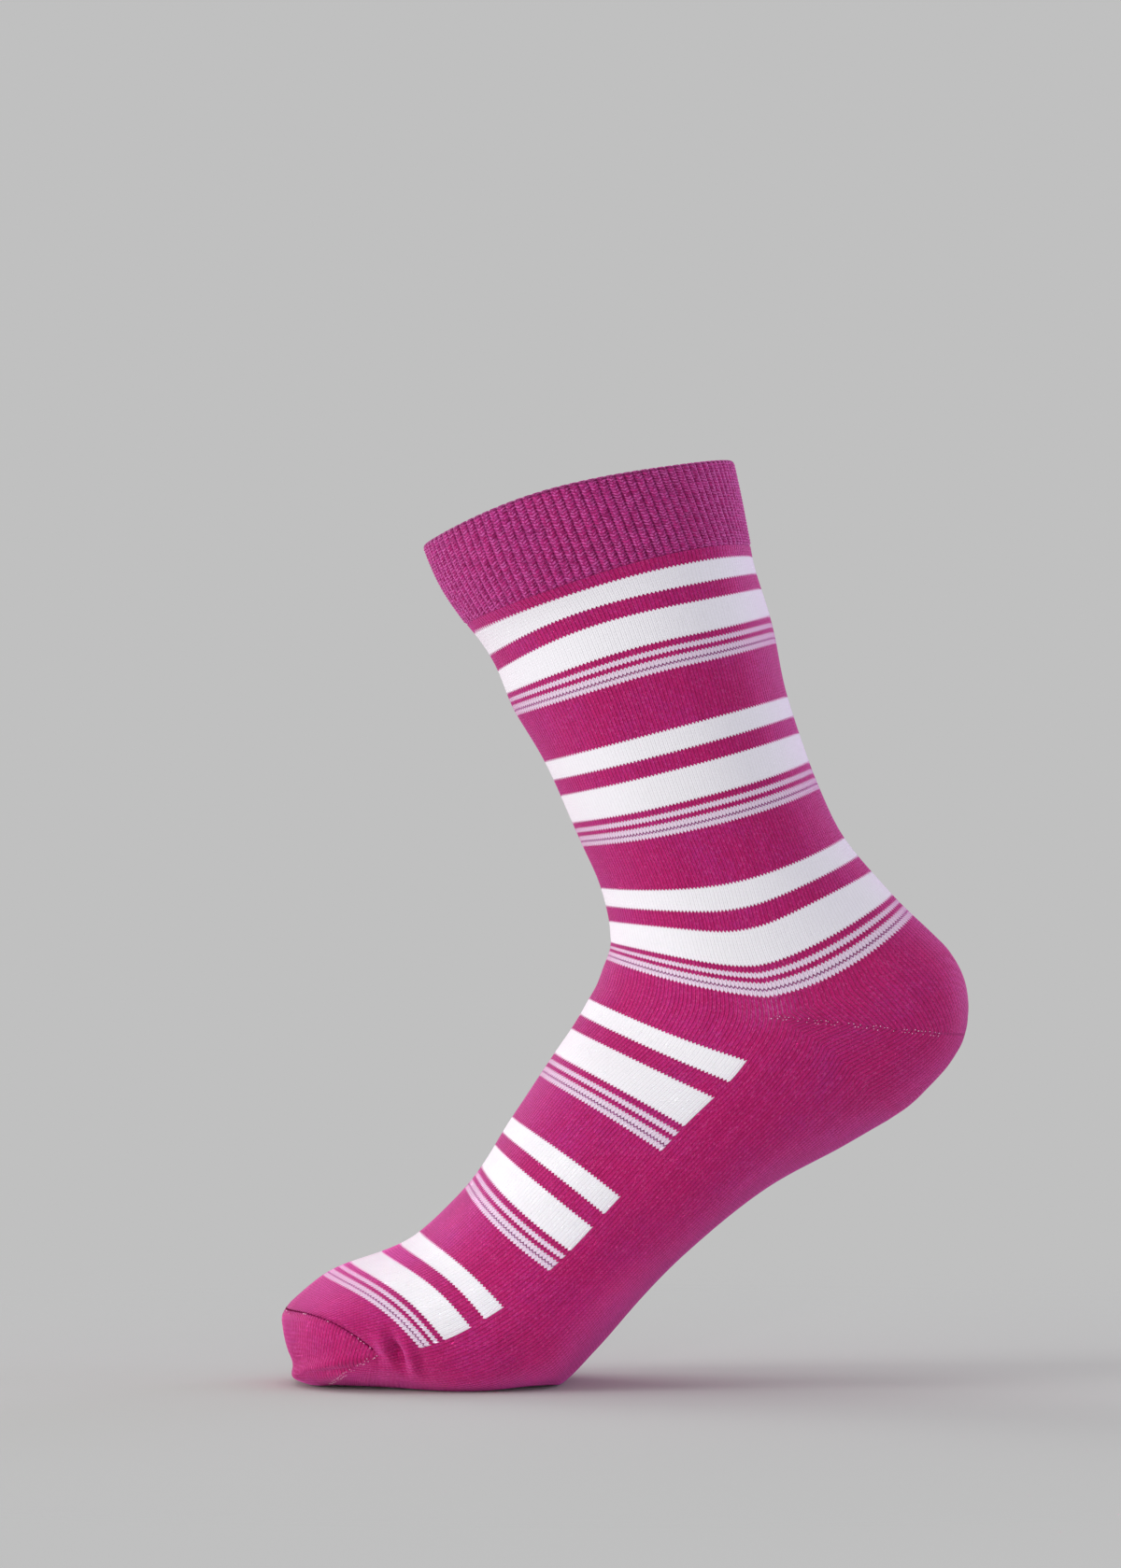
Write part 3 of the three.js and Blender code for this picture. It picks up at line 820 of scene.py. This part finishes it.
def stripe_edges(first, last):
    """Courses just inside the ends of each broad white stripe."""
    edges = []
    for start in range(0, TOE_TURN, STRIPE_PERIOD):
        place = start
        for courses, color in STRIPES:
            if color is WHITE:
                margin = TOOTH / 2 + EDGE_GAP
                edges += [place + margin, place + courses - margin]
            place += courses
    return [edge for edge in edges if first < edge < last]


def spaced_rows(marks, spacing):
    """Courses from the first mark to the last, about evenly spaced, every mark among them."""
    rows = [marks[0]]
    for low, high in zip(marks, marks[1:]):
        steps = max(1, round((high - low) / spacing))
        rows += list(np.linspace(low, high, steps + 1)[1:])
    return np.array(rows)


FINE_TOE = TOE_TURN - 21        # closer rows from here on
LEG_COURSES = spaced_rows([*stripe_edges(0, HEEL_TURN), HEEL_TURN], 1.3)
FOOT_COURSES = np.concatenate([
    spaced_rows([HEEL_TURN, *stripe_edges(HEEL_TURN, FINE_TOE), FINE_TOE], 1.45),
    spaced_rows([FINE_TOE, TOE_TURN], 0.8)[1:],
])
HEEL_RAYS = np.linspace(0, 1, 84)
TOE_RAYS = np.linspace(0, 1, 70)
INNER_EVERY = 5

SEAM_GROOVE = (0.10, 0.22, 0.55)        # how deep the last rows sink to the toe seam
GROOVE_TAPER = 9                        # wales from a corner over which they reach that depth
TUBES = ("leg", "foot")                 # the parts whose rings are closed

# above the first stripe the rows of the leg follow the slanting foot of the cuff
ABOVE_STRIPES = np.linspace(0, 1, 5)[:-1, None]
leg_wanted = np.concatenate([
    CUFF_END + (LEG_COURSES[0] - CUFF_END) * ABOVE_STRIPES,
    np.broadcast_to(LEG_COURSES[:, None], (len(LEG_COURSES), COLUMNS)),
])
leg_source = np.concatenate([np.linspace(CUFF_FOOT - 0.2, 0, 7), LEG_COURSES])


def all_normals(grids):
    return {part: grid_normals(grid, part in TUBES) for part, grid in grids.items()}


base = {
    "leg": settle(slide_rows(tube_grid("leg", leg_source), leg_source, leg_wanted), True),
    "foot": settle(tube_grid("foot", FOOT_COURSES), True),
    "heel": settle(pocket_grid(HEEL, HEEL_RAYS), False),
    "toe": settle(pocket_grid(TOE, TOE_RAYS), False),
}
outward = all_normals(base)
taper = np.clip(WALES_FROM_SIDE[FRONT_HALF] / GROOVE_TAPER, 0.1, 1)[:, None]
toe_taper = np.roll(taper, len(taper) // 2, axis=0)
for row, depth in zip((-3, -2, -1), SEAM_GROOVE):
    base["foot"][row, FRONT_HALF] -= outward["foot"][row, FRONT_HALF] * depth * taper
    base["toe"][row] -= outward["toe"][row] * depth * toe_taper
outward = all_normals(base)
seam_line = np.concatenate([base["toe"][-1, ::6], base["toe"][-1, -1:]])


# the rows of points that meet along each border: part, row, columns
WHOLE_ROW = slice(None)
BORDERS = [
    ("leg", -1, FRONT_HALF, "foot", 0, FRONT_HALF),
    ("leg", -1, BACK_HALF, "heel", 0, WHOLE_ROW),
    ("foot", 0, BACK_HALF, "heel", -1, WHOLE_ROW),
    ("foot", -1, BACK_HALF, "toe", 0, WHOLE_ROW),
]


def share_borders(normals):
    """Gives rows that meet along a border the same normals."""
    for part, row, columns, other, other_row, other_columns in BORDERS:
        middle = unit(normals[part][row, columns] + normals[other][other_row, other_columns])
        normals[part][row, columns] = middle
        normals[other][other_row, other_columns] = middle


share_borders(outward)


def ring_knit(courses):
    """Wale and course of each point on rings."""
    return np.stack(np.broadcast_arrays(RING_WALES, courses), axis=-1)


HEADING_WALES = 12      # wales from a corner that give the heading of a ray


def pocket_knit(pocket, t):
    """Wales and courses of a pocket.

    Wales run straight on from the border rings, and meet in an angle at the gore.
    """
    grid = pocket_grid(pocket, t)
    length = np.linalg.norm(np.diff(grid, axis=1), axis=2).sum(axis=1)
    near = (grid[:, HEADING_WALES * PER_WALE] - grid[:, 0])[:, (0, 2)]
    heading = np.unwrap(np.arctan2(near[:, 1], near[:, 0]))
    first = t < pocket["gore"]
    turned = np.where(first, heading - heading[0], heading[-1] - heading)
    lost = 1 - length * np.cos(turned) / np.where(first, length[0], length[-1])
    share = np.where(first, t / pocket["gore"], (1 - t) / (1 - pocket["gore"]))
    missing = pocket["gore_loss"] - np.where(first, lost[first][-1], lost[~first][0])
    lost = lost + missing * share ** 1.2

    from_corner = (np.arange(2 * QUARTER_COLUMNS) + 0.5) / PER_WALE
    reach = np.minimum(from_corner, 2 * QUARTER - from_corner)      # from the nearer corner
    wales_in = reach * (1 - lost[:, None] * (1 - (reach / QUARTER) ** 3))
    wale = np.where(from_corner < QUARTER, QUARTER + wales_in, 3 * QUARTER - wales_in)
    depth = pocket["courses"] * np.tanh(1.1 * reach / pocket["courses"])
    course = pocket["turn"] + depth * (share * np.where(first, 1, -1))[:, None]
    return np.stack([wale, course], axis=-1)


knit = {
    "leg": ring_knit(leg_wanted),
    "foot": ring_knit(FOOT_COURSES[:, None]),
    "heel": pocket_knit(HEEL, HEEL_RAYS),
    "toe": pocket_knit(TOE, TOE_RAYS),
}
relief = {part: grid + outward[part] * wale_relief(knit[part])[..., None]
          for part, grid in base.items()}
relief_normals = all_normals(relief)
share_borders(relief_normals)


def jersey_piece(part, outside, inside, white=None):
    """One of the four plain-knitted pieces. Inside, a tube has fewer rows."""
    last = len(base[part]) - 1
    rows = np.r_[0:last:INNER_EVERY if part in TUBES else 1, last]
    inner = (base[part] - outward[part] * WALL)[rows]
    return wall_piece(f"{part}_knit", (relief[part], relief_normals[part], knit[part]),
                      (inner, outward[part][rows], knit[part][rows]),
                      part in TUBES, outside, inside, white)


CUFF_RINGS = 116        # rings of the plain surface that the rib lies on
CUFF_ROWS = 104
TURN_ROWS = 9           # over the top of the cuff
RIB_HEIGHT = 0.80
RIB_SINK = 0.50         # how far a groove lies under the plain cloth
BEAD_HEIGHT = 0.10
RIB_FADE = 1.6          # courses in which the ribs round off at the foot of the cuff


def rib_lift(knit):
    """How far the ribs of the cuff, and the stitches on them, stand out."""
    phase = np.abs((knit[..., 0] / 2 % 1.0) - 0.5) * 2        # 0 on the ridge, 1 in the groove
    ridge = 1 - phase ** 2.6
    bead = np.cos(2 * np.pi * (knit[..., 1] + RIB_LEAN * phase))
    return RIB_HEIGHT * ridge - RIB_SINK - BEAD_HEIGHT * (0.4 + 0.6 * ridge) * bead


def cuff_piece(outside):
    """The folded cuff: one ribbed cloth up the outside, over the top and down inside."""
    courses = np.linspace(CUFF_TOP, 0, CUFF_RINGS)
    share = np.linspace(0, 1, CUFF_ROWS)[:, None]
    wanted = CUFF_TOP + (CUFF_END - CUFF_TOP) * share
    head, foot = slide_rows(tube_grid("leg", courses), courses, wanted[[0, -1]])
    grid = head + (foot - head) * share[..., None]      # the ribs run straight
    swell = np.sin(np.pi * share) * FRONTNESS
    grid = grid + grid_normals(grid, True) * (swell - unevenness(grid))[..., None]
    normal = grid_normals(grid, True)
    ribs = ring_knit(wanted)

    # the rib rounds off where it meets the plain leg
    from_foot = np.clip((CUFF_END - wanted) / RIB_FADE, 0, 1)
    lift = -0.4 + (rib_lift(ribs) + 0.4) * np.sin(from_foot * np.pi / 2)
    outer = grid + normal * lift[..., None]

    # over the top, half a turn from the inner wall to the outer one, the ribs are flatter
    up = unit(grid[0] - grid[1])
    turns = np.linspace(np.pi, 0, TURN_ROWS)[1:-1]
    top = []
    for turn in turns:
        facing = np.cos(turn) * normal[0] + np.sin(turn) * up
        bulge = lift[0][:, None] * (0.35 + 0.65 * abs(np.cos(turn)))
        centre = grid[0] - normal[0] * CUFF_WALL / 2
        top.append(centre + facing * (CUFF_WALL / 2 + bulge))
    inner_rows = np.r_[0:CUFF_ROWS - 1:4, CUFF_ROWS - 1]
    inner = (grid - normal * (CUFF_WALL + 0.5 * lift[..., None]))[inner_rows]

    points = np.concatenate([top, outer])
    all_knit = np.concatenate([np.repeat(ribs[:1], len(top), axis=0), ribs])
    all_knit[:len(top), :, 1] = CUFF_TOP - np.sin(turns)[:, None] * 1.6
    normals = grid_normals(np.concatenate([inner[:1], points]), True)[1:]
    return wall_piece("cuff_knit", (points, normals, all_knit),
                      (inner, grid_normals(inner, True), ribs[inner_rows]),
                      True, outside, outside)


# ---- small stitches


def stitch_mesh(name, stitches, material):
    """Short threads joined in one mesh. Each is (middle, direction, half length, radius)."""
    around, along = 8, 5                # sides of a thread, and steps along it
    points, faces = [], []
    for middle, direction, half_length, radius in stitches:
        direction = unit(np.array(direction, float))
        helper = (0, 0, 1) if abs(direction[2]) < 0.9 else (1, 0, 0)
        side = unit(np.cross(direction, helper))
        other = np.cross(direction, side)
        first = len(points)
        points.append(middle - direction * half_length)
        for i in range(1, along):
            turn = math.pi * i / along
            centre = middle - direction * half_length * math.cos(turn)
            width = radius * math.sin(turn) ** 0.7
            for j in range(around):
                angle = 2 * math.pi * j / around
                points.append(centre + (side * math.cos(angle) + other * math.sin(angle)) * width)
        last = len(points)
        points.append(middle + direction * half_length)
        for j in range(around):
            k = (j + 1) % around
            faces.append((first, first + 1 + k, first + 1 + j))
            for i in range(along - 2):
                a = first + 1 + i * around
                faces.append((a + j, a + k, a + around + k, a + around + j))
            a = first + 1 + (along - 2) * around
            faces.append((a + j, a + k, last))
    mesh = bpy.data.meshes.new(name)
    mesh.from_pydata((np.array(points) * MM).tolist(), [], faces)
    mesh.polygons.foreach_set("use_smooth", np.ones(len(faces), bool))
    mesh.materials.append(material)
    mesh.update()
    return object_from(name, mesh)


def gore_stitches(name, part, wales, offsets, seed, material):
    """Short stitches along a gore, on both sides of the foot, a row at each offset from it."""
    random = np.random.default_rng(seed)
    grid, normal = base[part], outward[part]
    row = round(POCKETS[part]["gore"] * (len(grid) - 1))
    last = grid.shape[1] - 1
    stitches = []
    for wale in wales:
        for side in (0, 1):
            column = int(wale * PER_WALE)
            if side:
                column = last - column
            lean = unit(grid[row + 1, column] - grid[row - 1, column])
            run = unit(grid[row, min(column + 1, last)] - grid[row, column - 1])
            for stagger, offset in zip((0.0, 0.4), offsets):
                if random.random() < 0.3:
                    continue
                middle = grid[row, column] + normal[row, column] * 0.10
                middle = middle + lean * offset + run * stagger + random.normal(0, 0.10, 3)
                direction = lean * 0.7 + run * random.uniform(0.2, 0.9)
                half_length = random.uniform(0.06, 0.22)
                radius = random.uniform(0.10, 0.16)
                stitches.append((middle, direction, half_length, radius))
    return stitch_mesh(name, stitches, material)


def toe_seam(material):
    """The linked seam over the toes: a ladder of short stitches in a groove."""
    grid, normal = base["foot"], outward["foot"]
    columns = np.roll(FRONT_HALF, QUARTER_COLUMNS)
    half_length, radius = 0.52, 0.17
    stitches = []
    for k, column in enumerate(columns[5:-5:2]):
        middle = grid[-1, column] + normal[-1, column] * 0.12
        along = unit(grid[-1, (column + 1) % COLUMNS] - grid[-1, column - 1])
        across = unit(grid[-1, column] - grid[-2, column])
        direction = along + across * (0.7 if k % 2 else -0.7)
        stitches.append((middle, direction, half_length, radius))
    return stitch_mesh("toe_seam", stitches, material)


def seam_specks(material):
    """Pale ends of thread here and there beside the toe seam, most near its ends."""
    random = np.random.default_rng(21)
    grid, normal = base["toe"], outward["toe"]
    stitches = []
    last = grid.shape[1] - 1
    for column in range(4, last - 4, 3):
        from_end = min(column, last - column) / QUARTER_COLUMNS
        if random.random() > 0.16 + 0.5 * math.exp(-from_end * 9):
            continue
        row = -2 - int(random.random() < 0.4)
        middle = grid[row, column] + normal[row, column] * 0.14
        along = unit(grid[row, column + 1] - grid[row, column - 1])
        direction = along + random.normal(0, 0.6, 3)
        half_length = random.uniform(0.18, 0.34)
        radius = random.uniform(0.10, 0.15)
        stitches.append((middle, direction, half_length, radius))
    return stitch_mesh("toe_seam_specks", stitches, material)


# ---- build

rib_cloth = rib("rib_knit")
leg_cloth = jersey("leg_knit", "round")
foot_cloth = jersey("foot_knit", "front")
plain_cloth = jersey("plain_knit", None)
leg_white = jersey("leg_white_knit", "round", fuzz=0.2)
foot_white = jersey("foot_white_knit", "front", fuzz=0.2)
leg_inside = jersey("leg_knit_inside", "round", reverse=True, fuzz=0.2)
foot_inside = jersey("foot_knit_inside", "front", reverse=True, fuzz=0.2)
plain_inside = jersey("plain_knit_inside", None, reverse=True, fuzz=0.2)
seam_thread = thread("seam_thread", MAGENTA_DEEP)
pale_thread = thread("pale_thread", PALE_THREAD)
line_thread = thread("line_thread", LINE_THREAD)

cuff = cuff_piece(rib_cloth)
leg = jersey_piece("leg", leg_cloth, leg_inside, leg_white)
foot = jersey_piece("foot", foot_cloth, foot_inside, foot_white)
heel = jersey_piece("heel", plain_cloth, plain_inside)
toe = jersey_piece("toe", plain_cloth, plain_inside)
heel_gore = gore_stitches("heel_gore_stitches", "heel", np.arange(0.7, 35.5, 0.8),
                          (-0.45, 0.45), 5, pale_thread)
toe_gore = gore_stitches("toe_gore_stitches", "toe", np.arange(0.7, 24, 0.8),
                         (-0.5, 0.45), 8, pale_thread)
heel_line = gore_stitches("heel_gore_line", "heel", np.arange(1.0, 35.5, 0.9),
                          (0.0,), 3, line_thread)
seam = toe_seam(seam_thread)
specks = seam_specks(pale_thread)

for piece, node, name in ((cuff, "cuff", "rib_knit"), (leg, "leg", "striped_knit"),
                          (foot, "foot", "striped_knit"), (heel, "heel", "plain_knit"),
                          (toe, "toe", "plain_knit")):
    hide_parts(node)

# ---- camera, floor and light

scene = bpy.context.scene

camera_data = bpy.data.cameras.new("camera")
camera_data.sensor_fit = "VERTICAL"
camera_data.sensor_height = 36.0
camera_data.lens = 174.6
camera_data.clip_start = 0.05
camera_data.clip_end = 60.0
camera = bpy.data.objects.new("camera", camera_data)
camera.location = (-0.00588, -2.28, -0.08344)
camera.rotation_euler = (math.radians(90), 0, 0)
scene.collection.objects.link(camera)
scene.camera = camera
scene.view_settings.view_transform = "Standard"


FLOOR_RADIUS = 1.5
FLOOR_SIDES = 64
FLOOR_FADE = (0.12, 0.65)       # from full to nothing, in metres from the middle
FLOOR_DROP = 0.15               # millimetres under the sole
FLOOR_GREY = (0.60, 0.61, 0.595, 1)
BACKDROP_GREY = (0.527, 0.527, 0.527, 1)


def pale_floor():
    """A round floor that fades into the backdrop's grey around the sock."""
    n = Nodes("floor_paint")
    n.shader.inputs["Base Color"].default_value = FLOOR_GREY
    n.shader.inputs["Roughness"].default_value = 0.95
    n.shader.inputs["Specular IOR Level"].default_value = 0.0
    where = n.add("ShaderNodeTexCoord").outputs["Object"]
    length = n.add("ShaderNodeVectorMath", operation="LENGTH")
    n.join(where, length.inputs[0])
    fade = n.add("ShaderNodeMapRange", interpolation_type="SMOOTHSTEP")
    n.join(length.outputs["Value"], fade.inputs["Value"])
    for socket, value in zip(("From Min", "From Max", "To Min", "To Max"), (*FLOOR_FADE, 1.0, 0.0)):
        fade.inputs[socket].default_value = value
    n.join(fade.outputs["Result"], n.shader.inputs["Alpha"])
    mesh = bpy.data.meshes.new("floor")
    angles = [2 * math.pi * k / FLOOR_SIDES for k in range(FLOOR_SIDES)]
    ring = [(FLOOR_RADIUS * math.cos(a), FLOOR_RADIUS * math.sin(a), 0.0) for a in angles]
    mesh.from_pydata(ring, [], [tuple(range(FLOOR_SIDES))])
    mesh.materials.append(n.material)
    floor = bpy.data.objects.new("floor", mesh)
    floor.location = (0, 0, (FLOOR - FLOOR_DROP) * MM)
    scene.collection.objects.link(floor)


def area_light(name, place, size, power, color, target=(0.0, 0.0, -0.12), spread=180):
    """A round lamp aimed at the target, its beam spread in degrees."""
    data = bpy.data.lights.new(name, "AREA")
    data.shape = "DISK"
    data.size = size
    data.energy = power
    data.color = color
    data.spread = math.radians(spread)
    light = bpy.data.objects.new(name, data)
    light.location = place
    aim = np.array(target) - np.array(place)
    yaw = math.atan2(aim[1], aim[0]) - math.pi / 2
    pitch = math.atan2(aim[2], math.hypot(aim[0], aim[1])) + math.pi / 2
    light.rotation_euler = (pitch, 0, yaw)
    scene.collection.objects.link(light)


pale_floor()
area_light("left", (-3.8, -1.5, 0.35), 2.0, 111.0, (1.0, 0.97, 0.98))
area_light("front", (0.2, -3.6, 0.0), 1.0, 24.0, (1.0, 0.96, 0.97))
area_light("low", (-0.7, -3.4, -0.10), 0.15, 0.025, (1.0, 0.95, 0.96),
           target=(-0.018, -0.03, -0.25), spread=4)
area_light("right", (3.4, -0.5, 0.0), 2.0, 26.5, (0.70, 0.62, 1.0))
area_light("above", (-0.3, 0.2, 2.8), 2.0, 12.0, (1.0, 1.0, 1.0))
area_light("back left", (-2.2, 2.3, 0.7), 1.6, 28.0, (1.0, 0.94, 0.96))
area_light("back right", (2.4, 2.2, 0.2), 1.6, 28.0, (0.72, 0.60, 1.0))

world = bpy.data.worlds.new("studio")
world.use_nodes = True
background = world.node_tree.nodes["Background"]
background.inputs["Color"].default_value = BACKDROP_GREY
scene.world = world
